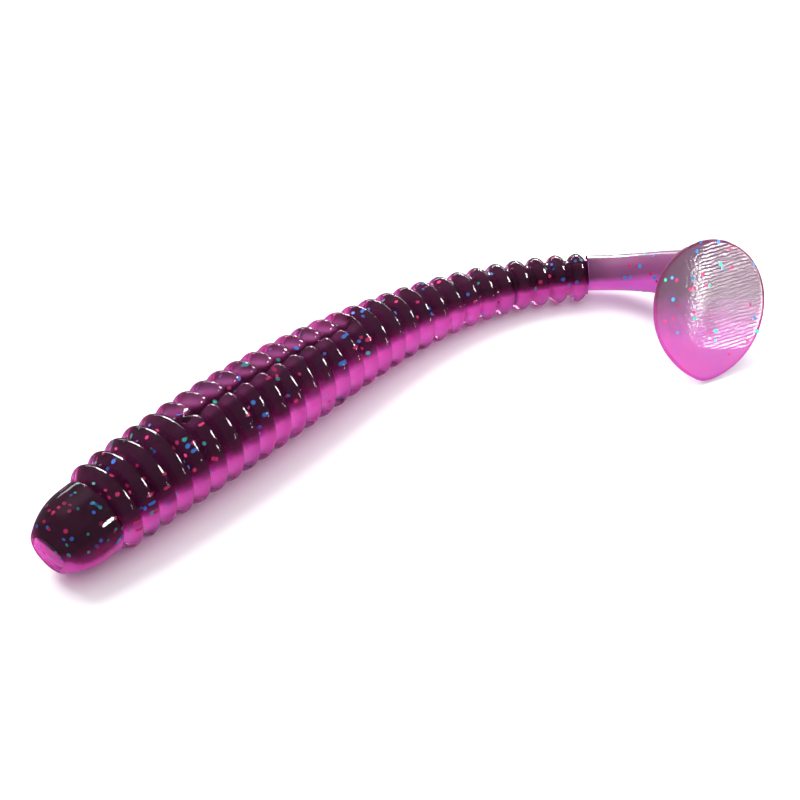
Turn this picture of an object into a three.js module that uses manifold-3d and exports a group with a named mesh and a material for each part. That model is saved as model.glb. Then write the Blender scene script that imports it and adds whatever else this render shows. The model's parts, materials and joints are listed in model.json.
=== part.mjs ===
// Soft ribbed paddle-tail worm, poured in two shots of soft plastic: a smoky back over a magenta belly.
// Millimetres, +Z up. The worm lies on z = 0 with its body curled sideways and its paddle propped on its tip.
//
// The flexing body is stored as short rigid links that meet in the grooves between rings. Each link is two
// solids, one per shot. Neighbouring links have roof-shaped ends whose ridge is the hinge axis, so a link
// can swing to its limit without cutting into the next one.
//
// Stations along the body are counted in ring pitches: ring n sits at station n - 1, the nose at NOSE.

import * as THREE from 'three';
import { mergeVertices } from 'three/addons/utils/BufferGeometryUtils.js';
import Module from 'manifold-3d';

const PITCH = 2.5;
const RINGS = 29;
const LAST_RING = RINGS - 1;
const GAP = 0.3;

// Crest radii of the rings, and where the taper starts.
const SHOULDER_RADIUS = 5.75;
const FRONT_RADIUS = 5.4;
const REAR_RADIUS = 2.93;
const TAPER_START = 6;

// Grooves between the rings.
const GROOVE_DEPTH = 0.7;
const GROOVE_SHARPNESS = 3;

// Head: a smooth barrel with a shallow flat-floored dish in the nose.
const NOSE = -3.5;
const HEAD_LENGTH = 3 * PITCH;
const HEAD_RADIUS = 4.55;
const HEAD_SWELL = 5.5;
const NECK_STEP = 0.5;
const DISH_DEPTH = 0.5;
const DISH_RADIUS = 2.1;
const RIM_RADIUS = 2.45;

// Slot along the back where a weedless hook's point lies.
const SLOT_FIRST = 4.6;
const SLOT_LAST = 15.2;
const SLOT_DEPTH = 1.1;
const SLOT_FLOOR_HALF = 0.5;
const SLOT_HALF = 1.1;

// Height of the seam between the two shots, as a part of the local radius.
const SEAM = 0.3;

// Plan shape of the centreline: degrees and degrees per square pitch.
const HEADING = 46;
const NECK_CURL = 0.083;
const NECK_CURL_END = 5;
const TAIL_CURL = 0.153;
const TAIL_CURL_START = 11.8;

// Thin stem from the last ring to the paddle.
const STEM_START = LAST_RING + 0.5;
const STEM_RADIUS = 2.15;
const STEM_FLARE_SIDE = 2.3;
const STEM_FLARE_HEIGHT = 3.3;
const STEM_FRONT_PULL = 7;
const STEM_REAR_PULL = 5;
const STEM_END_RISE = 20;

// Paddle: a spade-shaped blade, flat on its rear face, propped on its tip.
const PADDLE_HEADING = -65;
const PADDLE_TILT = 30;
const PADDLE_ROLL = -17.5;
const PADDLE_HEIGHT = 16.9;
const PADDLE_HALF_WIDTH = 7.35;
const PADDLE_WIDEST = 0.55;
const PADDLE_THICKNESS = 1.2;
const PADDLE_EDGE = 0.5;
const PADDLE_SEAM = 0.3;
const PADDLE_ATTACH = 0.72;
const PADDLE_TIP_AHEAD = 68;
const PADDLE_TIP_ASIDE = 26.2;
const PADDLE_TIP_HALF = 0.8;

// How far each hinge swings either way, in degrees.
const SWING = {
  neck: 8,
  front: 8,
  slot: 9,
  waist: 10,
  rear: 12,
  stemRoot: 20,
  stemMiddle: 18,
  paddle: 25,
};

// Links along the ringed body, each from one groove to another.
const BODY_LINKS = [
  { name: 'front_ribs', from: -0.5, to: 4.5, startSwing: SWING.neck, endSwing: SWING.front },
  { name: 'slot_front', from: 4.5, to: 10.5, startSwing: SWING.front, endSwing: SWING.slot },
  { name: 'slot_rear', from: 10.5, to: 15.5, startSwing: SWING.slot, endSwing: SWING.waist },
  { name: 'mid_ribs', from: 15.5, to: 21.5, startSwing: SWING.waist, endSwing: SWING.rear },
  { name: 'rear_ribs', from: 21.5, to: 28.5, startSwing: SWING.rear, endSwing: SWING.stemRoot },
];

const BACK_STEPS = 5;
const BELLY_STEPS = 14;
const RING_OFFSETS = [-0.28, 0, 0.28];
const STEM_STEPS = 6;
const UP = new THREE.Vector3(0, 0, 1);

const rad = THREE.MathUtils.degToRad;
const clamp = THREE.MathUtils.clamp;

// ---- Centreline and frames ----

function headingAt(station) {
  const neck = Math.max(NECK_CURL_END - station, 0);
  const tail = Math.max(station - TAIL_CURL_START, 0);
  return rad(HEADING + NECK_CURL * neck * neck - TAIL_CURL * tail * tail);
}

function crestRadius(station) {
  if (station < TAPER_START) {
    const ahead = (TAPER_START - station) / TAPER_START;
    return SHOULDER_RADIUS - (SHOULDER_RADIUS - FRONT_RADIUS) * ahead * ahead;
  }
  const along = clamp((station - TAPER_START) / (LAST_RING - TAPER_START), 0, 1);
  return REAR_RADIUS + (SHOULDER_RADIUS - REAR_RADIUS) * (1 + Math.cos(Math.PI * along)) / 2;
}

// Walks the heading from the nose and keeps a plan point at every small step.
function walkPlan() {
  const step = 0.05;
  const plan = [new THREE.Vector3()];
  for (let i = 1; NOSE + i * step <= STEM_START + 1; i += 1) {
    const heading = headingAt(NOSE + (i - 0.5) * step);
    const move = new THREE.Vector3(Math.cos(heading), Math.sin(heading), 0);
    plan.push(plan[i - 1].clone().addScaledVector(move, step * PITCH));
  }
  return { step, plan };
}

const WALK = walkPlan();

function bodyCentre(station) {
  const along = (station - NOSE) / WALK.step;
  const i = clamp(Math.floor(along), 0, WALK.plan.length - 2);
  const point = WALK.plan[i].clone().lerp(WALK.plan[i + 1], along - i);
  return point.setZ(crestRadius(station));
}

// A frame has a centre, the way toward the tail, the section's up, and the side on the right of travel.
function makeFrame(centre, along, up) {
  const side = along.clone().cross(up).normalize();
  return { centre, along, side, up: side.clone().cross(along).normalize() };
}

function bodyFrame(station) {
  const half = 0.05;
  const along = bodyCentre(station + half).sub(bodyCentre(station - half)).normalize();
  return makeFrame(bodyCentre(station), along, UP);
}

// The paddle's own frame: out of its rear face, up its blade, and across it.
function paddleFrame() {
  const out = new THREE.Vector3(
    Math.cos(rad(PADDLE_HEADING)) * Math.cos(rad(PADDLE_TILT)),
    Math.sin(rad(PADDLE_HEADING)) * Math.cos(rad(PADDLE_TILT)),
    Math.sin(rad(PADDLE_TILT)),
  );
  const level = UP.clone().cross(out).normalize();
  const side = level.applyAxisAngle(out, rad(PADDLE_ROLL)).normalize();
  const up = out.clone().cross(side).normalize();
  const ringOne = bodyCentre(0);
  const lift = PADDLE_EDGE * out.z + PADDLE_TIP_HALF * Math.abs(side.z);
  const tip = new THREE.Vector3(ringOne.x + PADDLE_TIP_AHEAD, ringOne.y + PADDLE_TIP_ASIDE, lift);
  return { tip, out, side, up };
}

const PADDLE = paddleFrame();

function paddlePoint(across, height, depth) {
  return PADDLE.tip.clone()
    .addScaledVector(PADDLE.side, across)
    .addScaledVector(PADDLE.up, height)
    .addScaledVector(PADDLE.out, -depth);
}

// The stem is one smooth curve from the last groove to the front face of the paddle.
function stemCurve() {
  const root = bodyFrame(STEM_START);
  const end = paddlePoint(0, PADDLE_ATTACH * PADDLE_HEIGHT, PADDLE_THICKNESS);
  const heading = headingAt(STEM_START);
  const leave = new THREE.Vector3(Math.cos(heading), Math.sin(heading), 0);
  const arrive = new THREE.Vector3(
    Math.cos(rad(PADDLE_HEADING)) * Math.cos(rad(STEM_END_RISE)),
    Math.sin(rad(PADDLE_HEADING)) * Math.cos(rad(STEM_END_RISE)),
    Math.sin(rad(STEM_END_RISE)),
  );
  return new THREE.CubicBezierCurve3(
    root.centre,
    root.centre.clone().addScaledVector(leave, STEM_FRONT_PULL),
    end.clone().addScaledVector(arrive, -STEM_REAR_PULL),
    end,
  );
}

const STEM = stemCurve();
const STEM_LENGTH = STEM.getLength();

// Along the stem, 0 is the last groove and 1 the paddle; the section rolls over to the paddle's up.
function stemFrame(part) {
  const t = STEM.getUtoTmapping(clamp(part, 0, 1));
  const up = UP.clone().lerp(PADDLE.up, part).normalize();
  return makeFrame(STEM.getPoint(t), STEM.getTangent(t).normalize(), up);
}

// ---- Sections ----

function groove(station) {
  const offset = Math.abs(station - Math.round(station)) / 0.5;
  return GROOVE_DEPTH * offset ** GROOVE_SHARPNESS;
}

function bodyRadius(station) {
  return crestRadius(station) - groove(station);
}

// Depth of the hook slot at a distance across the back.
function slotDepth(station, across) {
  const inside = Math.min(station - SLOT_FIRST, SLOT_LAST - station);
  const wall = (SLOT_HALF - Math.abs(across)) / (SLOT_HALF - SLOT_FLOOR_HALF);
  return SLOT_DEPTH * clamp(inside / 0.6, 0, 1) * clamp(wall, 0, 1);
}

// Angles from the top of the back, first side to second, with extra ones that carry the slot's floor and walls.
function backAngles(radius, seam) {
  const edge = Math.acos(seam / radius);
  const inner = [0, SLOT_FLOOR_HALF / radius, SLOT_HALF / radius];
  const half = inner.slice();
  for (let i = 1; i <= BACK_STEPS; i += 1) {
    half.push(inner[2] + (edge - inner[2]) * i / BACK_STEPS);
  }
  return half.slice(1).reverse().map((angle) => -angle).concat(half);
}

// One closed outline of the back shot: the arc over the top, then the middle of the seam.
function backOutline(width, height, seam, notch) {
  const outline = backAngles(width, seam * width / height).map((angle) => {
    const depth = notch(width * Math.sin(angle));
    return [(width - depth) * Math.sin(angle), (height - depth) * Math.cos(angle)];
  });
  return outline.concat([[0, seam]]);
}

// One closed outline of the belly shot: the arc underneath, then the middle of the seam.
function bellyOutline(width, height, seam) {
  const edge = Math.acos(seam / height);
  const sweep = 2 * (Math.PI - edge);
  const outline = [];
  for (let i = 0; i <= BELLY_STEPS; i += 1) {
    const angle = edge + sweep * i / BELLY_STEPS;
    outline.push([width * Math.sin(angle), height * Math.cos(angle)]);
  }
  return outline.concat([[0, seam]]);
}

// Both shots of one section. The seam sits half a gap above and below the stated height.
function bothOutlines(width, height, seam, notch = () => 0) {
  return {
    back: backOutline(width, height, seam + GAP / 2, notch),
    belly: bellyOutline(width, height, seam - GAP / 2),
  };
}

// Puts an outline in space. The roof slope draws the section's sides away from the hinge ridge.
function placeOutline(outline, frame, slope) {
  return outline.map(([across, height]) => frame.centre.clone()
    .addScaledVector(frame.side, across)
    .addScaledVector(frame.up, height)
    .addScaledVector(frame.along, slope * Math.abs(across)));
}

// ---- Solids ----

// Joins loops of equal length into one closed solid, capped at each end by a fan from the loop's last point.
function loft(loops) {
  const size = loops[0].length;
  const points = loops.flat();
  const faces = [];
  for (let ring = 0; ring < loops.length - 1; ring += 1) {
    for (let i = 0; i < size; i += 1) {
      const a = ring * size + i;
      const b = ring * size + (i + 1) % size;
      faces.push([a, b, b + size], [a, b + size, a + size]);
    }
  }
  const last = (loops.length - 1) * size;
  for (let i = 0; i < size - 2; i += 1) {
    faces.push([size - 1, i + 1, i]);
    faces.push([last + size - 1, last + i, last + i + 1]);
  }
  return closedGeometry(points, faces);
}

function signedVolume(points, faces) {
  return faces.reduce((sum, [a, b, c]) => sum + points[a].dot(points[b].clone().cross(points[c])), 0);
}

function closedGeometry(points, faces) {
  const inward = signedVolume(points, faces) < 0;
  const ordered = inward ? faces.map(([a, b, c]) => [a, c, b]) : faces;
  const geometry = new THREE.BufferGeometry();
  geometry.setAttribute('position', new THREE.Float32BufferAttribute(points.flatMap((p) => p.toArray()), 3));
  geometry.setIndex(ordered.flat());
  geometry.computeVertexNormals();
  return geometry;
}

// Booleans work on merged closed meshes.
const wasm = await Module();
wasm.setup();

function toManifold(geometry) {
  const bare = geometry.clone();
  bare.deleteAttribute('normal');
  bare.deleteAttribute('uv');
  const merged = mergeVertices(bare);
  return new wasm.Manifold(new wasm.Mesh({
    numProp: 3,
    vertProperties: merged.attributes.position.array,
    triVerts: new Uint32Array(merged.index.array),
  }));
}

function subtract(geometry, tool) {
  const mesh = toManifold(geometry).subtract(toManifold(tool)).getMesh();
  const result = new THREE.BufferGeometry();
  result.setAttribute('position', new THREE.Float32BufferAttribute(mesh.vertProperties, 3));
  result.setIndex(Array.from(mesh.triVerts));
  result.computeVertexNormals();
  return result;
}

const BACK_PLASTIC = new THREE.MeshStandardMaterial({ color: 0x35192e, roughness: 0.2 });
const BELLY_PLASTIC = new THREE.MeshStandardMaterial({ color: 0xc850a5, roughness: 0.2 });

function addSolid(group, name, loops, material) {
  const mesh = new THREE.Mesh(loft(loops), material);
  mesh.name = name;
  group.add(mesh);
}

function addLink(group, name, sections) {
  const back = sections.map((section) => placeOutline(section.outlines.back, section.frame, section.slope));
  const belly = sections.map((section) => placeOutline(section.outlines.belly, section.frame, section.slope));
  addSolid(group, `${name}_back`, back, BACK_PLASTIC);
  addSolid(group, `${name}_belly`, belly, BELLY_PLASTIC);
}

// ---- Head ----

// Radius of the smooth barrel at a distance from the nose, with the small step down at the neck.
function headRadius(distance) {
  const open = 1 - (RIM_RADIUS + 0.25) / HEAD_RADIUS;
  const swell = Math.max(1 - distance / HEAD_SWELL, 0);
  const neck = clamp((distance - (HEAD_LENGTH - 0.8)) / 0.8, 0, 1);
  return HEAD_RADIUS * (1 - open * swell ** 2.2) - NECK_STEP * neck ** 2;
}

function headSections() {
  const seam = SEAM * HEAD_RADIUS;
  const profile = [[0, RIM_RADIUS]];
  for (const distance of [0.15, 0.7, 1.5, 2.6, 4, 5.4, 6.6]) {
    profile.push([distance, headRadius(distance)]);
  }
  profile.push([HEAD_LENGTH - GAP / 2, headRadius(HEAD_LENGTH)]);
  return profile.map(([distance, radius], i) => ({
    frame: bodyFrame(NOSE + distance / PITCH),
    outlines: bothOutlines(radius, radius, seam),
    slope: i === profile.length - 1 ? -Math.tan(rad(SWING.neck / 2)) : 0,
  }));
}

// The dish is a short cylinder taken out of both shots along the head's own axis.
function cutDish(group) {
  const nose = bodyFrame(NOSE);
  const tool = new THREE.CylinderGeometry(DISH_RADIUS, DISH_RADIUS, 2 * DISH_DEPTH, 40);
  tool.applyQuaternion(new THREE.Quaternion().setFromUnitVectors(new THREE.Vector3(0, 1, 0), nose.along));
  tool.translate(...nose.centre.toArray());
  group.children.filter((mesh) => mesh.name.startsWith('head')).forEach((mesh) => {
    mesh.geometry = subtract(mesh.geometry, tool);
  });
}

// ---- Ringed body ----

function linkStations({ from, to }) {
  const stations = [from + GAP / 2 / PITCH];
  for (let ring = Math.ceil(from); ring <= Math.floor(to); ring += 1) {
    RING_OFFSETS.forEach((offset) => stations.push(ring + offset));
    if (ring < Math.floor(to)) {
      stations.push(ring + 0.5);
    }
  }
  stations.push(to - GAP / 2 / PITCH);
  return stations;
}

// The roof slope is full at the link's end and gone by the crest of its first or last ring.
function linkSlope(link, station) {
  const start = clamp(1 - (station - link.from) / 0.5, 0, 1);
  const end = clamp(1 - (link.to - station) / 0.5, 0, 1);
  return start * Math.tan(rad(link.startSwing / 2)) - end * Math.tan(rad(link.endSwing / 2));
}

function bodySections(link) {
  return linkStations(link).map((station) => {
    const radius = bodyRadius(station);
    const notch = (across) => slotDepth(station, across);
    return {
      frame: bodyFrame(station),
      outlines: bothOutlines(radius, radius, SEAM * crestRadius(station), notch),
      slope: linkSlope(link, station),
    };
  });
}

// ---- Stem ----

// The stem flares into a tall oval where it meets the paddle.
function stemSize(part) {
  const flare = clamp((part - 0.45) / 0.55, 0, 1) ** 2;
  return {
    width: STEM_RADIUS + (STEM_FLARE_SIDE - STEM_RADIUS) * flare,
    height: STEM_RADIUS + (STEM_FLARE_HEIGHT - STEM_RADIUS) * flare,
  };
}

function stemSections(from, to, startSwing, endSwing) {
  const gap = GAP / STEM_LENGTH;
  const first = from === 0 ? gap / 2 : from + gap / 2;
  const last = to === 1 ? 1 - gap : to - gap / 2;
  const sections = [];
  for (let i = 0; i <= STEM_STEPS; i += 1) {
    const part = first + (last - first) * i / STEM_STEPS;
    const { width, height } = stemSize(part);
    const near = Math.max(1 - i / 2, 0) * Math.tan(rad(startSwing));
    const far = Math.max(1 - (STEM_STEPS - i) / 2, 0) * Math.tan(rad(endSwing));
    sections.push({
      frame: stemFrame(part),
      outlines: bothOutlines(width, height, SEAM * height),
      slope: near - far,
    });
  }
  return sections;
}

// ---- Paddle ----

function paddleHalfWidth(part) {
  if (part > PADDLE_WIDEST) {
    const over = (part - PADDLE_WIDEST) / (1 - PADDLE_WIDEST);
    return PADDLE_HALF_WIDTH * Math.sqrt(Math.max(1 - over * over, 0));
  }
  const under = (PADDLE_WIDEST - part) / PADDLE_WIDEST;
  return PADDLE_HALF_WIDTH * Math.max(1 - under ** 2.2, 0) ** 0.68;
}

// One slice across the blade: flat rear face, gently domed front face, thin edge.
function paddleLoop(part) {
  const half = Math.max(paddleHalfWidth(part), PADDLE_TIP_HALF);
  const height = part * PADDLE_HEIGHT;
  const body = PADDLE_EDGE + (PADDLE_THICKNESS - PADDLE_EDGE) * Math.min(1, 6 * part * (1 - part));
  const spread = [-1, -0.9, -0.5, 0, 0.5, 0.9, 1];
  const rear = spread.map((x) => paddlePoint(x * half, height, 0));
  const front = spread.slice().reverse().map((x) => {
    const depth = PADDLE_EDGE + (body - PADDLE_EDGE) * (1 - x * x);
    return paddlePoint(x * half, height, depth);
  });
  return rear.concat(front);
}

function addPaddle(group) {
  const gap = GAP / 2 / PADDLE_HEIGHT;
  const belly = [0, 0.03, 0.08, 0.15, 0.22, PADDLE_SEAM - gap];
  const back = [PADDLE_SEAM + gap, 0.4, 0.5, 0.6, 0.72, 0.82, 0.9, 0.96, 0.99];
  addSolid(group, 'paddle_back', back.map(paddleLoop), BACK_PLASTIC);
  addSolid(group, 'paddle_belly', belly.map(paddleLoop), BELLY_PLASTIC);
}

// ---- Assembly ----

function buildWorm() {
  const group = new THREE.Group();
  group.name = 'soft_worm';
  addLink(group, 'head', headSections());
  cutDish(group);
  BODY_LINKS.forEach((link) => addLink(group, link.name, bodySections(link)));
  addLink(group, 'stem_front', stemSections(0, 0.5, SWING.stemRoot / 2, SWING.stemMiddle / 2));
  addLink(group, 'stem_rear', stemSections(0.5, 1, SWING.stemMiddle / 2, SWING.paddle));
  addPaddle(group);
  return group;
}

// The row frame's origin is the middle of the bounding box, on the table.
function centreOnTable(group) {
  const box = new THREE.Box3().setFromObject(group);
  const middle = box.getCenter(new THREE.Vector3()).setZ(box.min.z);
  group.children.forEach((mesh) => mesh.geometry.translate(-middle.x, -middle.y, -middle.z));
  return group;
}

export default centreOnTable(buildWorm());
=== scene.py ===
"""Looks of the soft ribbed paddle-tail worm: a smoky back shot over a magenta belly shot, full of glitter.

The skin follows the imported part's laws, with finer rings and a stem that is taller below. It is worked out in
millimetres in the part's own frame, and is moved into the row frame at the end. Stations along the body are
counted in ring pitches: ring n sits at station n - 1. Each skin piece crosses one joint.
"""

import json
import math

import bpy
import numpy as np
from mathutils import Matrix, Vector


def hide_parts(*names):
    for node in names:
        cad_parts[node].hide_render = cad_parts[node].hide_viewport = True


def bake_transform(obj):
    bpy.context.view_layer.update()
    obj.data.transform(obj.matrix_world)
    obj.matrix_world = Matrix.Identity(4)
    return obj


# Rings and the body's plan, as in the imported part.
PITCH = 2.5
RINGS = 29
LAST_RING = RINGS - 1
NOSE = -3.5
HEAD_LENGTH = 7.5
STEM_START = LAST_RING + 0.5
WALK_STEP = 0.05
HEADING = 46
NECK_CURL = 0.083
NECK_CURL_END = 5
TAIL_CURL = 0.153
TAIL_CURL_START = 11.8
SHOULDER_RADIUS = 5.75
FRONT_RADIUS = 5.4
REAR_RADIUS = 2.93
TAPER_START = 6

# Relief of the rings: how deep the core lies, and the share of the pitch that the crest takes.
FRONT_RELIEF = 1.35
REAR_RELIEF = 0.8
FRONT_CREST = 0.99
REAR_CREST = 0.78
SLIM_START = 12
CREST_STEPS = 9
CREST_POWER = 1.65
CORE_COVER = 0.05
LAST_ROUND = 0.51
HEAD_COVER = 0.45

# Head, slot, stem and paddle.
HEAD_RADIUS = 4.55
HEAD_OPENING = 2.7
HEAD_SWELL = 5.5
NECK_STEP = 0.5
DISH_DEPTH = 0.5
SLOT_FIRST = 4.6
SLOT_LAST = 15.2
SLOT_DEPTH = 1.6
SLOT_FLOOR_HALF = 0.3
SLOT_HALF = 1.75
SLOT_BUMP = 0.14
SLOT_EASE = 0.7
STEM_RADIUS = 2.15
STEM_FLARE_SIDE = 2.3
STEM_FLARE_HEIGHT = 3.9
STEM_LIFT = 0.6
STEM_DROP = 1.2
STEM_FRONT_PULL = 7
STEM_REAR_PULL = 5
STEM_END_RISE = 20
PADDLE_HEADING = -65
PADDLE_TILT = 30
PADDLE_ROLL = -17.5
PADDLE_HEIGHT = 16.9
PADDLE_HALF_WIDTH = 7.35
PADDLE_WIDEST = 0.55
PADDLE_THICKNESS = 1.2
PADDLE_EDGE = 0.5
PADDLE_ATTACH = 0.72
PADDLE_TIP_AHEAD = 68
PADDLE_TIP_ASIDE = 26.2
PADDLE_TIP_HALF = 0.8

# Where the pink gives way to smoke, as a part of the local radius above the centre.
SEAM_HEIGHT = 0.38
UP = np.array([0.0, 0.0, 1.0])

# How much lower the smoke reaches on the head.
HEAD_SMOKE = 0.24
# How much the lower smoke of the nose thins out, so that it glows wine red.
HEAD_GLOW = 0.75

# How much further the smoke reaches down on one side than on the other, at the front and at the rear.
FRONT_LEAN = 0.17
REAR_LEAN = -0.12
# How much further the smoke reaches down at the front than at the rear.
FRONT_DROP = 0.27

# Colour of the painted backlight: a lighter purple that stands in for light from behind shining through the
# thin smoke of the half-rings beyond the slot, and how much of it shows.
PAINTED_BACKLIGHT = (0.46, 0.17, 0.36)
PAINTED_BACKLIGHT_AMOUNT = 0.62

# Fine level ripples that the mould left on the rear face of the paddle: how tall, and how close together.
RIPPLE_HEIGHT = 0.000015
RIPPLE_PITCH = 0.00036
RIPPLE_SCALE = 2 * math.pi / 20 / RIPPLE_PITCH

# Colour of the thick smoke where the stem leaves the rings.
SMOKE = (0.09, 0.022, 0.065)

# How far light travels in the belly's and the back's plastic, in millimetres of red, green and blue light.
BELLY_REACH = (1.6, 0.5, 1.2)
BACK_REACH = (4.0, 0.9, 2.2)

# Camera and lights.
TARGET = Vector((-0.001874, 0.004739, 0.0))
CAMERA_DISTANCE = 0.28
CAMERA_ELEVATION = 42
LENS = 106.9

# The card mirrored in the paddle: its corners on the blade in millimetres, its distance and its light.
CARD_CORNERS = ((-1.2, 5.2), (8.5, 14.6))
CARD_DISTANCE = 0.09
CARD_GLOW = 95.0

# Table and screen, in metres.
FLOOR_HALF = 1.5
BACKDROP_RADIUS = 1.0
BACKDROP_HEIGHT = 1.5
BACKDROP_SIDES = 64

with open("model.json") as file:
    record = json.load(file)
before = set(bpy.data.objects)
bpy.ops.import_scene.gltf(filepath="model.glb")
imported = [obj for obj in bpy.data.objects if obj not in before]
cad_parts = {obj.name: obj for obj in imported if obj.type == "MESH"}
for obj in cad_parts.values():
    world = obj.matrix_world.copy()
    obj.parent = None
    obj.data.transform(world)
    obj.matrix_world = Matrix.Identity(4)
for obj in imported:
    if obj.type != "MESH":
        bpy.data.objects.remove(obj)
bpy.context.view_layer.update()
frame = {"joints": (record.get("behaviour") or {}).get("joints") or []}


# ---- Centreline ----


def unit(vectors):
    """Vectors of length one."""
    return vectors / np.linalg.norm(vectors, axis=-1, keepdims=True)


def direction(heading, rise):
    """Unit vector with this heading and this rise, in degrees."""
    turn, lift = math.radians(heading), math.radians(rise)
    return np.array([math.cos(turn) * math.cos(lift), math.sin(turn) * math.cos(lift), math.sin(lift)])


def heading_at(station):
    """Heading of the body, in degrees."""
    neck = np.maximum(NECK_CURL_END - station, 0)
    tail = np.maximum(station - TAIL_CURL_START, 0)
    return HEADING + NECK_CURL * neck**2 - TAIL_CURL * tail**2


def crest_radius(station):
    """Radius over the crests."""
    ahead = np.maximum(TAPER_START - station, 0) / TAPER_START
    along = np.clip((station - TAPER_START) / (LAST_RING - TAPER_START), 0, 1)
    taper = (SHOULDER_RADIUS - REAR_RADIUS) * (1 - np.cos(np.pi * along)) / 2
    return SHOULDER_RADIUS - (SHOULDER_RADIUS - FRONT_RADIUS) * ahead**2 - taper


def walk_plan():
    """Plan points of the body, one for each small step from the nose."""
    count = round((STEM_START + 1 - NOSE) / WALK_STEP)
    turns = np.radians(heading_at(NOSE + (np.arange(count) + 0.5) * WALK_STEP))
    moves = np.stack([np.cos(turns), np.sin(turns)], 1) * WALK_STEP * PITCH
    return np.vstack([[0.0, 0.0], np.cumsum(moves, 0)])


PLAN = walk_plan()


def body_centre(station):
    """Centres of the sections at these stations."""
    station = np.asarray(station, float)
    steps = (station - NOSE) / WALK_STEP
    ticks = np.arange(len(PLAN))
    east, north = (np.interp(steps, ticks, PLAN[:, i]) for i in range(2))
    return np.stack([east, north, crest_radius(station)], -1)


def make_frames(centre, along, up):
    """Centre, way along, side on the right of travel, and up of each section."""
    side = unit(np.cross(along, up))
    return {"centre": centre, "along": along, "side": side, "up": np.cross(side, along)}


def body_frames(station):
    """Frames of the ringed body and the head."""
    station = np.asarray(station, float)
    along = unit(body_centre(station + WALK_STEP) - body_centre(station - WALK_STEP))
    return make_frames(body_centre(station), along, UP)


def paddle_frame():
    """The paddle's tip, the way out of its rear face, across it and up it."""
    out = direction(PADDLE_HEADING, PADDLE_TILT)
    level = unit(np.cross(UP, out))
    roll = math.radians(PADDLE_ROLL)
    side = level * math.cos(roll) + np.cross(out, level) * math.sin(roll)
    lift = PADDLE_EDGE * out[2] + PADDLE_TIP_HALF * abs(side[2])
    ring_one = body_centre(0)
    tip = np.array([ring_one[0] + PADDLE_TIP_AHEAD, ring_one[1] + PADDLE_TIP_ASIDE, lift])
    return {"tip": tip, "out": out, "side": side, "up": np.cross(out, side)}


PADDLE = paddle_frame()


def paddle_point(across, height, depth):
    """Points in the paddle: across it, up it from the tip, and behind its rear face."""
    spot = np.multiply.outer(across, PADDLE["side"]) + np.multiply.outer(height, PADDLE["up"])
    return PADDLE["tip"] + spot - np.multiply.outer(depth, PADDLE["out"])


def stem_points():
    """Finely spaced points along the stem's curve, and the part of its length at each."""
    root = body_centre(STEM_START)
    end = paddle_point(0.0, PADDLE_ATTACH * PADDLE_HEIGHT, PADDLE_THICKNESS)
    leave = root + STEM_FRONT_PULL * direction(float(heading_at(STEM_START)), 0)
    arrive = end - STEM_REAR_PULL * direction(PADDLE_HEADING, STEM_END_RISE)
    t = np.linspace(0, 1, 801)[:, None]
    points = (1 - t) ** 3 * root + 3 * (1 - t) ** 2 * t * leave + 3 * (1 - t) * t**2 * arrive + t**3 * end
    lengths = np.concatenate([[0], np.cumsum(np.linalg.norm(np.diff(points, axis=0), axis=1))])
    return points, lengths / lengths[-1]


STEM_POINTS, STEM_PARTS = stem_points()


def stem_centre(part):
    """Centres along the stem, from 0 at the last groove to 1 at the paddle."""
    return np.stack([np.interp(part, STEM_PARTS, STEM_POINTS[:, i]) for i in range(3)], -1)


def stem_frames(part):
    """Frames of the stem, whose up leans over to the paddle's up."""
    part = np.asarray(part, float)
    along = unit(stem_centre(np.minimum(part + 0.01, 1)) - stem_centre(np.maximum(part - 0.01, 0)))
    up = unit(UP * (1 - part[:, None]) + PADDLE["up"] * part[:, None])
    return make_frames(stem_centre(part), along, up)


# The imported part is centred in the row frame; the neck hinge tells by how much.
NECK_HINGE = next(j for j in frame["joints"] if j["name"] == "neck_swing")["pos_m"]
SHIFT = body_centre(-0.5) - np.array(NECK_HINGE) * 1000


def to_row(points):
    """Millimetres in the part's frame to metres in the row frame."""
    return (np.asarray(points) - SHIFT) / 1000


# ---- Surface laws ----


def smooth(value, low, high):
    """Smoothstep of a value between two limits."""
    t = np.clip((value - low) / (high - low), 0, 1)
    return t * t * (3 - 2 * t)


def ring_share(station, front, rear):
    """A value that changes from the front rings' to the rear rings'."""
    return front + (rear - front) * smooth(np.asarray(station, float), SLIM_START, LAST_RING - 3)


def ring_depth(station):
    """How deep the core lies below the crests."""
    return ring_share(np.round(station), FRONT_RELIEF, REAR_RELIEF)


def ring_relief(station):
    """Depth below the crest: a rounded ring on a flat core."""
    offset = np.abs(station - np.round(station)) / 0.5
    share = ring_share(np.round(station), FRONT_CREST, REAR_CREST)
    inside = np.clip(offset / share, 0, 1) ** CREST_POWER
    return ring_depth(station) * (1 - (1 - inside) ** (1 / CREST_POWER))


def slot_opening(station, across, top):
    """Share of the hook slot's depth at a place: half-rings end in a round beside it."""
    inside = smooth(np.minimum(station - SLOT_FIRST, SLOT_LAST - station), 0, 0.6)
    wall = np.clip((np.abs(across) - SLOT_FLOOR_HALF) / (SLOT_HALF - SLOT_FLOOR_HALF), 0, 1)
    return np.where(top, inside * (1 - np.sqrt(1 - (1 - wall) ** 2)), 0)


def body_surface(station, angle):
    """Radius of the ringed body at stations (rows) and angles from the top (columns)."""
    station, angle = station[:, None], angle[None, :]
    crest = crest_radius(station)
    opened = slot_opening(station, crest * np.sin(angle), np.cos(angle) > 0)
    bump = SLOT_BUMP * np.cos(2 * np.pi * station)
    return crest - opened * (SLOT_DEPTH - bump) - ring_relief(station) * (1 - SLOT_EASE * opened)


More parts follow.
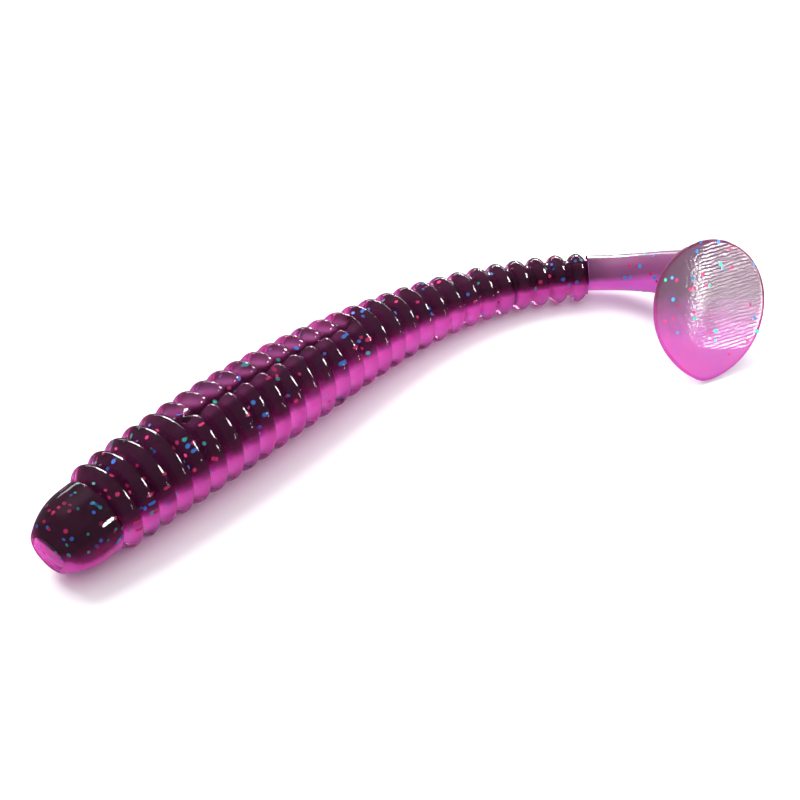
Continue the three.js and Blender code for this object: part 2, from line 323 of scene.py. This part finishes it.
def core_surface(station, angle):
    """Radius of the core under the rings, which stays below the floors of the grooves and the slot."""
    station, angle = station[:, None], angle[None, :]
    crest = crest_radius(station)
    opened = slot_opening(station, crest * np.sin(angle), np.cos(angle) > 0)
    depth = ring_depth(station)
    floor = SLOT_DEPTH + SLOT_BUMP - SLOT_EASE * depth
    return crest - depth - opened * floor - CORE_COVER


def head_radius(distance):
    """Radius of the head at a distance from the nose."""
    swell = np.maximum(1 - distance / HEAD_SWELL, 0)
    neck = np.clip((distance - (HEAD_LENGTH - 0.8)) / 0.8, 0, 1)
    return HEAD_RADIUS * (1 - (1 - HEAD_OPENING / HEAD_RADIUS) * swell**2.2) - NECK_STEP * neck**2


# Angles round a section, close together over the back where the slot is.
NEAR_TOP = np.linspace(0, 0.34, 18)
REST = 0.34 + (np.pi - 0.34) * np.linspace(0, 1, 43)[1:]
HALF = np.concatenate([NEAR_TOP, REST])
ANGLES = np.concatenate([-HALF[::-1][:-1], HALF])[:-1]


def ring_stations(first, last):
    """Stations from one groove to another, close together where the rings are steep."""
    steps = [first]
    for ring in range(math.ceil(first), math.floor(last) + 1):
        share = float(ring_share(ring, FRONT_CREST, REAR_CREST))
        sweep = np.linspace(-np.pi / 2, np.pi / 2, 2 * CREST_STEPS + 1)
        reach = np.sign(sweep) * np.abs(np.sin(sweep)) ** (2 / CREST_POWER)
        steps.extend(ring + 0.5 * share * reach)
        steps.append(ring + 0.5)
    return np.array(steps)


def place(frames, width, height, forward=0.0):
    """Points of sections: width and height are radii for each section (rows) and angle (columns)."""
    across = width * np.sin(ANGLES)
    rise = height * np.cos(ANGLES)
    return (
        frames["centre"][:, None, :]
        + across[..., None] * frames["side"][:, None, :]
        + rise[..., None] * frames["up"][:, None, :]
        + forward * frames["along"][:, None, :]
    )


# ---- Sections of each stretch ----
# A stretch is (points, height), both with one row for each section. Height is the place between belly and
# back: about -1 at the bottom and 1 at the top, and more where the smoke reaches further down.


def level(stations):
    """Height between belly and back for every point of some sections; the smoke leans to one side."""
    lean = ring_share(stations, FRONT_LEAN, REAR_LEAN)[:, None]
    drop = FRONT_DROP * (1 - smooth(stations, 4, 15))[:, None]
    return np.cos(ANGLES) + drop + lean * (np.sin(ANGLES) - 0.9)


def close_last_ring(stations, radius, end):
    """The last ring rounds off to the radius of the stem."""
    past = np.clip((stations - LAST_RING) / LAST_ROUND, 0, 1)[:, None]
    return np.where(past > 0, end + (radius - end) * np.sqrt(1 - past**2), radius)


def body_stretch(first, last, surface=body_surface):
    """The ringed body, or its core, between two grooves."""
    stations = ring_stations(first, last)
    end = STEM_RADIUS if surface is body_surface else STEM_RADIUS - CORE_COVER
    radius = close_last_ring(stations, surface(stations, ANGLES), end)
    points = place(body_frames(stations), radius, radius)
    return points, level(stations)


def head_smoke(distance):
    """How much lower the smoke reaches on the head, which it covers most beyond the dish's rim."""
    return (HEAD_SMOKE * smooth(distance, 0.2, 1.2) * (1 - 0.5 * smooth(distance, 5, HEAD_LENGTH)))[:, None]


def head_stretch():
    """The head, from the middle of the nose dish over its soft rim to the neck."""
    dish = [(DISH_DEPTH, 0.02), (DISH_DEPTH, 0.7), (DISH_DEPTH - 0.01, 1.3), (DISH_DEPTH - 0.05, 1.75)]
    wall = [(0.36, 1.98), (0.2, 2.1), (0.07, 2.2), (0.0, 2.34), (0.02, 2.5), (0.09, 2.64)]
    neck = np.linspace(6.75, HEAD_LENGTH - 0.05, 9)
    barrel = np.concatenate([np.linspace(0.2, 1.5, 9), np.linspace(1.7, 6.6, 22), neck])
    profile = np.array(dish + wall + [(d, head_radius(d)) for d in barrel])
    stations = NOSE + profile[:, 0] / PITCH
    radius = profile[:, 1:] * np.ones_like(ANGLES)
    points = place(body_frames(stations), radius, radius)
    return points, level(stations) + head_smoke(profile[:, 0])


def head_core_stretch():
    """The core of the head, a cover's depth inside its surface."""
    distance = np.linspace(DISH_DEPTH + 0.25, HEAD_LENGTH - 0.05, 30)
    radius = np.minimum(head_radius(distance) - HEAD_COVER, crest_radius(-0.5) - FRONT_RELIEF - CORE_COVER)
    rounding = np.sqrt(np.clip((distance - distance[0]) / 0.8, 0.001, 1))
    stations = NOSE + distance / PITCH
    points = place(body_frames(stations), (radius * rounding)[:, None], (radius * rounding)[:, None])
    height = level(stations) + head_smoke(distance)
    above = np.maximum(height - SEAM_HEIGHT, 0)
    glow = HEAD_GLOW * (1 - smooth(distance, 4, 7.5))[:, None] * (1 - smooth(above, 0.25, 0.85))
    return points, height - glow * above


def stem_stretch(first, last, count):
    """The stem between two parts of its length, flaring at the paddle."""
    part = np.linspace(first, last, count)
    flare = part**2
    frames = stem_frames(part)
    frames["centre"] = frames["centre"] + np.outer(STEM_LIFT * (1 - part) - STEM_DROP * flare, UP)
    width = STEM_RADIUS + (STEM_FLARE_SIDE - STEM_RADIUS) * flare
    height = STEM_RADIUS + (STEM_FLARE_HEIGHT - STEM_RADIUS) * flare
    points = place(frames, width[:, None] * np.ones_like(ANGLES), height[:, None] * np.ones_like(ANGLES))
    rise = points[..., 2] - frames["centre"][:, None, 2]
    return points, rise / height[:, None] + 0.12


def join_stretches(*stretches):
    """Stretches one after another."""
    return np.concatenate([s[0] for s in stretches]), np.concatenate([s[1] for s in stretches])


# ---- Meshes ----


def write_attribute(mesh, name, values):
    """A float for every vertex."""
    mesh.attributes.new(name, "FLOAT", "POINT").data.foreach_set("value", np.asarray(values, np.float32))


def build_mesh(name, vertices, faces, shade=True):
    """A mesh object with no parent."""
    mesh = bpy.data.meshes.new(name)
    mesh.from_pydata([tuple(v) for v in vertices], [], faces)
    mesh.update()
    if shade:
        mesh.shade_smooth()
    made = bpy.data.objects.new(name, mesh)
    bpy.context.scene.collection.objects.link(made)
    return made


def loft(name, stretch, capped=True):
    """A skin over a stretch, which can be capped at both ends by a fan."""
    points, height = stretch
    rows, size = points.shape[:2]
    i = np.arange(size)
    j = (i + 1) % size
    start = (np.arange(rows - 1) * size)[:, None]
    quads = np.stack([start + i, start + j, start + j + size, start + i + size], -1).reshape(-1, 4)
    ends = rows * size
    first = np.stack([np.full(size, ends), j, i], -1)
    last = np.stack([np.full(size, ends + 1), (rows - 1) * size + i, (rows - 1) * size + j], -1)
    vertices = np.vstack([points.reshape(-1, 3), points[0].mean(0), points[-1].mean(0)])
    heights = np.concatenate([height.ravel(), [height[0].mean(), height[-1].mean()]])
    caps = first.tolist() + last.tolist() if capped else []
    used = len(vertices) if capped else len(vertices) - 2
    made = build_mesh(name, to_row(vertices[:used]), quads.tolist() + caps)
    write_attribute(made.data, "height", heights[:used])
    return made


# ---- Materials ----


def new_material(name, **values):
    """A Principled material with constant values on its own sockets."""
    material = bpy.data.materials.new(name)
    material.use_nodes = True
    shader = material.node_tree.nodes["Principled BSDF"]
    for key, value in values.items():
        shader.inputs[key.replace("_", " ")].default_value = value
    return material, shader


class Graph:
    """Short ways to add nodes to one material."""

    def __init__(self, material):
        self.tree = material.node_tree

    def node(self, kind, inputs=(), **settings):
        made = self.tree.nodes.new(kind)
        for key, value in settings.items():
            setattr(made, key, value)
        for key, value in dict(inputs).items():
            self.feed(made.inputs[key], value)
        return made

    def feed(self, socket, value):
        if isinstance(value, bpy.types.NodeSocket):
            self.tree.links.new(value, socket)
        else:
            socket.default_value = value

    def attribute(self, name):
        return self.node("ShaderNodeAttribute", attribute_name=name).outputs["Fac"]

    def noise(self, scale, detail=2.0, roughness=0.5):
        where = self.node("ShaderNodeTexCoord").outputs["Object"]
        settings = {"Vector": where, "Scale": scale, "Detail": detail, "Roughness": roughness}
        return self.node("ShaderNodeTexNoise", settings).outputs["Fac"]

    def math(self, operation, a, b=0.0, c=0.0):
        return self.node("ShaderNodeMath", {0: a, 1: b, 2: c}, operation=operation).outputs[0]

    def ramp(self, value, stops):
        made = self.node("ShaderNodeValToRGB", {"Fac": value})
        elements = made.color_ramp.elements
        while len(elements) < len(stops):
            elements.new(0.5)
        for element, (position, colour) in zip(elements, stops):
            element.position = position
            element.color = (*colour, 1)
        return made.outputs["Color"]

    def blend(self, share, first, second):
        made = self.node("ShaderNodeMix", {"Factor": share}, data_type="RGBA")
        self.feed(made.inputs[6], first)
        made.inputs[7].default_value = (*second, 1)
        return made.outputs[2]

    def ripples(self):
        where = self.node("ShaderNodeTexCoord").outputs["Object"]
        settings = {"Vector": where, "Scale": RIPPLE_SCALE, "Distortion": 3.0, "Detail": 2.0}
        settings["Detail Scale"] = 1.3
        return self.node("ShaderNodeTexWave", settings, bands_direction="Z").outputs["Fac"]

    def bump(self, height, strength, distance):
        made = self.node("ShaderNodeBump", {"Height": height, "Strength": strength, "Distance": distance})
        return made.outputs["Normal"]


def cloudy_height(graph):
    """The height between belly (0) and back (1), made uneven as the two poured shots ran into each other."""
    cloud = graph.math("SUBTRACT", graph.noise(700, 3), 0.5)
    height = graph.math("MULTIPLY_ADD", cloud, 0.22, graph.attribute("height"))
    return graph.math("MULTIPLY_ADD", height, 0.5, 0.5)


def gel(name, belly, back, **values):
    """The clear outer plastic, tinted pink below and smoky above."""
    material, shader = new_material(
        name,
        IOR=1.45,
        **values,
    )
    graph = Graph(material)
    middle = 0.5 + 0.5 * SEAM_HEIGHT
    tint = graph.ramp(cloudy_height(graph), [(middle - 0.1, belly), (middle + 0.06, back)])
    graph.feed(shader.inputs["Base Color"], graph.blend(graph.attribute("smoke"), tint, SMOKE))
    unevenness = graph.math("MULTIPLY", graph.noise(2600, 2), 0.3)
    height = graph.math("MULTIPLY_ADD", graph.ripples(), graph.attribute("ripple"), unevenness)
    normal = graph.bump(height, 1.0, RIPPLE_HEIGHT)
    graph.feed(shader.inputs["Normal"], normal)
    graph.feed(shader.inputs["Coat Normal"], normal)
    return material


def cloudy_core(name, smoke, haze_and_painted_backlight):
    """The depth of the soft plastic: pink below, smoke above, with a cloudy border between them, and a painted
    backlight on the half-rings beyond the slot.
    """
    material, shader = new_material(
        name,
        Roughness=0.6,
        Specular_IOR_Level=0.0,
        Subsurface_Weight=1.0,
        Subsurface_Scale=0.001,
    )
    graph = Graph(material)
    tone = cloudy_height(graph)
    middle = 0.5 + 0.5 * SEAM_HEIGHT
    stops = [
        (0.0, (0.94, 0.3, 0.74)),
        (middle - 0.1, (0.84, 0.18, 0.6)),
        (middle - 0.01, haze_and_painted_backlight),
        (middle + 0.06, (0.14, 0.016, 0.075)),
        (middle + 0.17, smoke),
    ]
    # Painted backlight: a lighter purple mixed in where the attribute asks, standing in for light from behind
    # shining through the thin half-rings.
    painted_backlight_mix = graph.math("MULTIPLY", graph.attribute("haze_and_painted_backlight"), PAINTED_BACKLIGHT_AMOUNT)
    graph.feed(shader.inputs["Base Color"], graph.blend(painted_backlight_mix, graph.ramp(tone, stops), PAINTED_BACKLIGHT))
    limits = {"Value": tone, "From Min": middle - 0.1, "From Max": middle + 0.05}
    belly = graph.node("ShaderNodeMapRange", limits)
    reach = graph.node("ShaderNodeMix", {"Factor": belly.outputs["Result"]}, data_type="VECTOR")
    reach.inputs[4].default_value = BELLY_REACH
    reach.inputs[5].default_value = BACK_REACH
    graph.feed(shader.inputs["Subsurface Radius"], reach.outputs[1])
    return material


def flake_material(name, colour):
    """Bright foil glitter."""
    material, _ = new_material(name, Base_Color=(*colour, 1), Metallic=0.4, Roughness=0.35)
    return material


GEL = gel("gel", (0.95, 0.5, 0.86), (0.58, 0.32, 0.5), Roughness=0.06, Transmission_Weight=1.0)
THIN_GEL = gel(
    "thin_gel",
    (0.76, 0.14, 0.66),
    (0.24, 0.072, 0.185),
    Roughness=0.3,
    Specular_IOR_Level=0.25,
    Coat_Weight=0.9,
    Coat_Roughness=0.05,
    Transmission_Weight=0.2,
    Subsurface_Weight=1.0,
    Subsurface_Scale=0.0015,
)
CORE = cloudy_core("cloudy_core", (0.06, 0.014, 0.04), (0.36, 0.05, 0.23))
FLAKES = [
    flake_material("blue_flake", (0.04, 0.28, 0.75)),
    flake_material("green_flake", (0.04, 0.55, 0.4)),
    flake_material("red_flake", (0.62, 0.03, 0.16)),
]


# ---- Glitter ----

# The glitter came with the smoky shot; this share of it strayed into the pink.
LOW_SHARE = 0.15

# A flake is a thin six-sided plate. Radius and thickness are in metres. The colours are blue, green and red.
FLAKE_RADIUS = (0.00018, 0.00027)
FLAKE_THICKNESS = 0.00003
FLAKE_SIDES = [(i, (i + 1) % 6, (i + 1) % 6 + 6, i + 6) for i in range(6)]
FLAKE_FACES = [(5, 4, 3, 2, 1, 0), (6, 7, 8, 9, 10, 11), *FLAKE_SIDES]
COLOUR_SHARES = (0.36, 0.2, 0.44)


def scatter(skin, density, seed, lowest):
    """Points and normals spread over a surface, so many to a square millimetre, with few below a height."""
    mesh = skin.data
    mesh.calc_loop_triangles()
    corners = np.zeros(len(mesh.loop_triangles) * 3, np.int32)
    mesh.loop_triangles.foreach_get("vertices", corners)
    where = np.zeros(len(mesh.vertices) * 3)
    mesh.vertices.foreach_get("co", where)
    first = corners.reshape(-1, 3)[:, 0]
    corners = where.reshape(-1, 3)[corners.reshape(-1, 3)]
    normals = np.cross(corners[:, 1] - corners[:, 0], corners[:, 2] - corners[:, 0])
    areas = np.linalg.norm(normals, axis=1)
    draw = np.random.default_rng(seed)
    count = round(density * areas.sum() / 2 * 1e6)
    chosen = draw.choice(len(areas), count, p=areas / areas.sum())
    mix = draw.dirichlet((1, 1, 1), count)
    points = (corners[chosen] * mix[..., None]).sum(1)
    height = np.array([tall.value for tall in mesh.attributes["height"].data])[first[chosen]]
    kept = (height > lowest) | (draw.random(count) < LOW_SHARE)
    return points[kept], unit(normals[chosen][kept]), draw


def add_flakes(name, surface, density, seed, lift, lowest, tilt=0.2):
    """Six-sided foil flakes in three colours, lifted off a surface by some millimetres."""
    points, normals, draw = scatter(surface, density, seed, lowest)
    vertices, faces, colours = [], [], []
    turn = np.arange(6) * np.pi / 3
    for point, normal in zip(points, normals):
        axis = unit(normal + draw.normal(0, tilt, 3))
        first = unit(np.cross(axis, draw.normal(0, 1, 3)))
        second = np.cross(axis, first)
        radius = draw.uniform(*FLAKE_RADIUS)
        base = len(vertices)
        centre = point + normal * draw.uniform(*lift) / 1000
        rim = centre + radius * (np.cos(turn)[:, None] * first + np.sin(turn)[:, None] * second)
        vertices.extend([*(rim - FLAKE_THICKNESS * axis), *rim])
        faces.extend(tuple(base + i for i in face) for face in FLAKE_FACES)
        colours.extend([int(draw.choice(3, p=COLOUR_SHARES))] * len(FLAKE_FACES))
    made = build_mesh(name, vertices, faces, shade=False)
    for material in FLAKES:
        made.data.materials.append(material)
    made.data.polygons.foreach_set("material_index", colours)
    return made


# ---- Pieces ----


def finish_piece(pieces, nodes):
    """Applies the transform of each layer of a piece, which lies between two bodies, and hides the given CAD
    nodes.
    """
    for piece in pieces:
        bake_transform(piece)
    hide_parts(*nodes)


def backlight_paint_share(stations):
    """Share of painted backlight on the half-rings beyond the slot: a lighter colour painted where the smoke is
    thin, standing in for light from behind that shines through them.

    A little of this painted backlight is on the slot's near wall too, and less between the rings than on them.
    """
    beside = smooth(np.minimum(stations - SLOT_FIRST, SLOT_LAST - stations), -0.8, 0.8)[:, None]
    beyond = smooth(-ANGLES, 0.14, 0.38) * (1 - smooth(-ANGLES, 0.9, 1.3))
    inner = 0.3 * smooth(ANGLES, 0.02, 0.12) * (1 - smooth(ANGLES, 0.22, 0.4))
    crest = 0.65 + 0.35 * np.cos(2 * np.pi * stations)[:, None]
    return (beside * (beyond + inner) * crest).ravel()


def add_layers(name, skin_stretch, core_stretch, density, seed, stations=None):
    """The gel skin, the cloudy core under it, and the glitter between them."""
    skin = loft(f"{name}_skin", skin_stretch, capped=False)
    skin.data.materials.append(GEL)
    core = loft(f"{name}_core", core_stretch)
    core.data.materials.append(CORE)
    # Painted backlight: a share of lighter purple on the half-rings beyond the slot, standing in for light from
    # behind.
    if stations is not None:
        write_attribute(core.data, "haze_and_painted_backlight", np.append(backlight_paint_share(stations), [0, 0]))
    return skin, core, add_flakes(f"{name}_glitter", core, density, seed, (0.05, 0.3), SEAM_HEIGHT - 0.1)


def both(link):
    """The two CAD nodes of a link."""
    return f"{link}_back", f"{link}_belly"


# Each piece: name, bodies, first and last station of the piece and of its bend, and flakes to a square
# millimetre.
BODY_PIECES = [
    ("shoulder", ("front_ribs", "slot_front"), (1.5, 7.5), (3.0, 6.0), 0.34),
    ("slot", ("slot_front", "slot_rear"), (7.5, 13.5), (9.0, 12.0), 0.28),
    ("waist", ("slot_rear", "mid_ribs"), (13.5, 18.5), (14.0, 17.0), 0.24),
    ("rear", ("mid_ribs", "rear_ribs"), (18.5, 24.5), (20.0, 23.0), 0.22),
]


def add_body_pieces():
    """Skins of the ringed body between the head piece and the stem piece."""
    for index, (name, bodies, (first, last), bend, density) in enumerate(BODY_PIECES):
        core = body_stretch(first, last, core_surface)
        skin = body_stretch(first, last)
        pieces = add_layers(name, skin, core, density, 10 + index, ring_stations(first, last))
        finish_piece(pieces, both(bodies[0]))


def add_head_piece():
    """The head and the first two rings."""
    skin = join_stretches(head_stretch(), body_stretch(-0.5, 1.5))
    core = join_stretches(head_core_stretch(), body_stretch(-0.5, 1.5, core_surface))
    pieces = add_layers("head", skin, core, 0.6, 5)
    finish_piece(pieces, both("head"))


def add_stem_pieces():
    """The last rings with the root of the stem, and the middle of the stem."""
    core = body_stretch(24.5, STEM_START, core_surface)
    pieces = add_layers("tail_rings", body_stretch(24.5, STEM_START), core, 0.25, 20)
    root = loft("stem_root_skin", stem_stretch(0.0, 0.25, 12), capped=False)
    root.data.materials.append(THIN_GEL)
    finish_piece((*pieces, root), both("rear_ribs"))
    parts = np.repeat(np.linspace(0.0, 0.25, 12), len(ANGLES))
    root_height = np.tile(np.cos(ANGLES), 12)
    smoke = 0.9 * (1 - smooth(parts, -0.05, 0.25)) * smooth(root_height, 0.0, 0.5)
    write_attribute(root.data, "smoke", smoke)
    skin = loft("stem_skin", stem_stretch(0.25, 0.75, 30), capped=False)
    skin.data.materials.append(THIN_GEL)
    flakes = add_flakes("stem_glitter", skin, 0.5, 21, (0.015, 0.03), 0.1, 0.05)
    nodes = (*both("stem_front"), *both("stem_rear"))
    finish_piece((skin, flakes), nodes)


def paddle_half_width(part):
    """Half width of the blade at a part of its height."""
    upper = np.sqrt(np.clip(1 - ((part - PADDLE_WIDEST) / (1 - PADDLE_WIDEST)) ** 2, 0, 1))
    below = np.clip((PADDLE_WIDEST - part) / PADDLE_WIDEST, 0, 1)
    lower = np.clip(1 - below**2.2, 0, 1) ** 0.68
    return PADDLE_HALF_WIDTH * np.where(part > PADDLE_WIDEST, upper, lower)


def blade_outline(count=144):
    """The blade's outline as (across, height) points, evenly spaced along its edge."""
    part = (1 - np.cos(np.linspace(0, np.pi, 400))) / 2
    half = paddle_half_width(part)
    right, left = (np.stack([way * half, part * PADDLE_HEIGHT], 1) for way in (1, -1))
    loop = np.concatenate([right, left[::-1]])
    lengths = np.concatenate([[0], np.cumsum(np.linalg.norm(np.diff(loop, axis=0), axis=1))])
    spots = np.linspace(0, lengths[-1], count, endpoint=False)
    return np.stack([np.interp(spots, lengths, loop[:, i]) for i in range(2)], 1)


def blade_layer(outline, inset, depth):
    """The outline drawn in by a share towards the blade's middle, at a depth behind the rear face."""
    middle = np.array([0, PADDLE_WIDEST * PADDLE_HEIGHT])
    shape = middle + (outline - middle) * (1 - inset)
    return paddle_point(shape[:, 0], shape[:, 1], np.full(len(shape), depth))


def add_paddle_piece():
    """The end of the stem and the paddle blade, one soft body."""
    outline = blade_outline()
    steps = np.linspace(0, 1, 22)[1:]
    rim = [(0.012, 0.0), (0.003, 0.08), (0.0, 0.25), (0.003, 0.42), (0.012, PADDLE_EDGE)]
    swell = PADDLE_THICKNESS - PADDLE_EDGE
    front = [(inset, PADDLE_EDGE + swell * min(inset / 0.45, 1) ** 0.7) for inset in steps * 0.995]
    layers = [(inset, 0.0) for inset in steps[::-1] * 0.995] + rim + front
    points = np.stack([blade_layer(outline, inset, depth) for inset, depth in layers])
    blade = loft("paddle_skin", (points[::-1], np.zeros(points.shape[:2])))
    stem = loft("stem_end", stem_stretch(0.75, 0.995, 16))
    for piece in (blade, stem):
        piece.data.materials.append(THIN_GEL)
    heights = np.array([v.co for v in blade.data.vertices]) - to_row(PADDLE["tip"])
    share = heights @ PADDLE["up"] * 1000 / PADDLE_HEIGHT
    reach = heights @ PADDLE["side"] * 1000 / PADDLE_HALF_WIDTH
    blade.data.attributes["height"].data.foreach_set("value", (share * 1.0 - 0.12).astype(np.float32))
    depth = -(heights @ PADDLE["out"]) * 1000
    on_rim = (np.abs(depth - 0.25) < 0.2) & (np.hypot(reach, (share - PADDLE_WIDEST) / 0.5) > 0.8)
    smoke = np.where(on_rim, 0.7, 0.3 * (1 - smooth(reach, -0.5, 0.1)))
    write_attribute(blade.data, "smoke", smoke * smooth(share, 0.4, 0.8))
    inside = 1 - smooth(np.hypot(reach, (share - PADDLE_WIDEST) / 0.5), 0.85, 0.97)
    fade = smooth(share, 0.2, 0.35) * smooth(reach, -0.3, 0.1)
    write_attribute(blade.data, "ripple", (depth < 0.05) * inside * fade)
    bpy.ops.object.select_all(action="DESELECT")
    stem.select_set(True)
    blade.select_set(True)
    bpy.context.view_layer.objects.active = blade
    bpy.ops.object.join()
    flakes = add_flakes("paddle_glitter", blade, 0.2, 22, (0.015, 0.03), 0.2, 0.05)
    finish_piece((blade, flakes), both("paddle"))


# ---- Stage ----


def add_floor():
    """A plain pale table, which is kept out of reflections."""
    half = FLOOR_HALF
    corners = [(-half, -half, 0), (half, -half, 0), (half, half, 0), (-half, half, 0)]
    floor = build_mesh("floor", corners, [(0, 1, 2, 3)], shade=False)
    material, _ = new_material("pale_table", Base_Color=(0.92, 0.92, 0.93, 1), Roughness=0.6)
    floor.data.materials.append(material)
    floor.visible_glossy = False


def add_backdrop():
    """A plain pale screen round the table, which gives no light and is kept out of reflections."""
    turns = np.linspace(0, 2 * np.pi, BACKDROP_SIDES, endpoint=False)
    ring = np.stack([BACKDROP_RADIUS * np.cos(turns), BACKDROP_RADIUS * np.sin(turns)], 1)
    corners = [(*spot, height) for height in (0.0, BACKDROP_HEIGHT) for spot in ring]
    beside = [(i + 1) % BACKDROP_SIDES for i in range(BACKDROP_SIDES)]
    faces = [(i, j, j + BACKDROP_SIDES, i + BACKDROP_SIDES) for i, j in enumerate(beside)]
    screen = build_mesh("backdrop", corners, faces)
    glow = (0.95, 0.95, 0.96, 1)
    dark = (0, 0, 0, 1)
    material, _ = new_material("pale_screen", Base_Color=dark, Emission_Color=glow, Emission_Strength=1.0)
    screen.data.materials.append(material)
    screen.visible_diffuse = False
    screen.visible_glossy = False
    screen.visible_transmission = False
    screen.visible_shadow = False


def add_panel(name, place_at, size, power, aim=(0, 0, 0), mirrored=True, lighting=True):
    """A soft light panel that faces a point, and may be kept out of reflections or be only a reflection."""
    data = bpy.data.lights.new(name, "AREA")
    data.shape = "RECTANGLE"
    data.size, data.size_y = size
    data.energy = power
    panel = bpy.data.objects.new(name, data)
    panel.location = place_at
    panel.rotation_euler = (Vector(aim) - Vector(place_at)).to_track_quat("-Z", "Y").to_euler()
    panel.visible_glossy = mirrored
    panel.visible_diffuse = lighting
    panel.visible_camera = False
    bpy.context.scene.collection.objects.link(panel)


def add_card(camera):
    """A small card that the flat rear face of the paddle mirrors to the camera, over its upper right part."""
    place_at = np.array(camera.location)
    out, across, up = PADDLE["out"], PADDLE["side"], PADDLE["up"]
    low, high = (to_row(paddle_point(*corner, 0.0)) for corner in CARD_CORNERS)
    mirrored = place_at - 2 * ((place_at - low) @ out) * out
    middle = (low + high) / 2
    view = unit(middle - mirrored)
    reach = np.linalg.norm(middle - mirrored)
    scale = (reach + CARD_DISTANCE) / reach
    size = (abs((high - low) @ across) * scale, abs((high - low) @ up) * scale)
    power = CARD_GLOW * size[0] * size[1]
    add_panel("front_card", middle + CARD_DISTANCE * view, size, power, aim=middle, lighting=False)
    card = bpy.data.objects["front_card"]
    facing = -unit(middle - np.array(card.location))
    right = unit(across - (across @ facing) * facing)
    axes = np.stack([right, np.cross(facing, right), facing], 1)
    card.rotation_euler = Matrix(axes.tolist()).to_euler()


def add_lights():
    """Pale room light and soft panels."""
    world = bpy.data.worlds.new("room")
    world.use_nodes = True
    background = world.node_tree.nodes["Background"]
    background.inputs["Color"].default_value = (0.95, 0.96, 1, 1)
    background.inputs["Strength"].default_value = 0.16
    bpy.context.scene.world = world
    add_panel("key", (-0.3, 0.35, 0.65), (0.6, 0.6), 9.5, mirrored=False)
    add_panel("overhead", (0.1, -0.1, 0.9), (1.4, 1.4), 11.0, mirrored=False)
    add_panel("back_sweep", (-0.05, 0.8, 0.09), (1.0, 0.1), 1.4)
    add_panel("back_box", (0.0, 0.8, 0.18), (0.26, 0.12), 4.0, lighting=False)
    add_panel("side_box", (0.6, 0.38, 0.19), (0.17, 0.15), 5.0, lighting=False)
    add_panel("spark", (0.52, -0.19, 0.17), (0.06, 0.09), 0.8, aim=(-0.033, -0.023, 0.008), lighting=False)


def add_camera():
    """The camera, above and in front of the worm."""
    tilt = math.radians(CAMERA_ELEVATION)
    data = bpy.data.cameras.new("camera")
    data.lens = LENS
    data.clip_start = 0.01
    camera = bpy.data.objects.new("camera", data)
    camera.location = TARGET + CAMERA_DISTANCE * Vector((0, -math.cos(tilt), math.sin(tilt)))
    camera.rotation_euler = (TARGET - camera.location).to_track_quat("-Z", "Y").to_euler()
    bpy.context.scene.collection.objects.link(camera)
    bpy.context.scene.camera = camera
    return camera


add_head_piece()
add_body_pieces()
add_stem_pieces()
add_paddle_piece()
add_floor()
add_backdrop()
add_lights()
add_card(add_camera())
bpy.context.scene.view_settings.view_transform = "Standard"
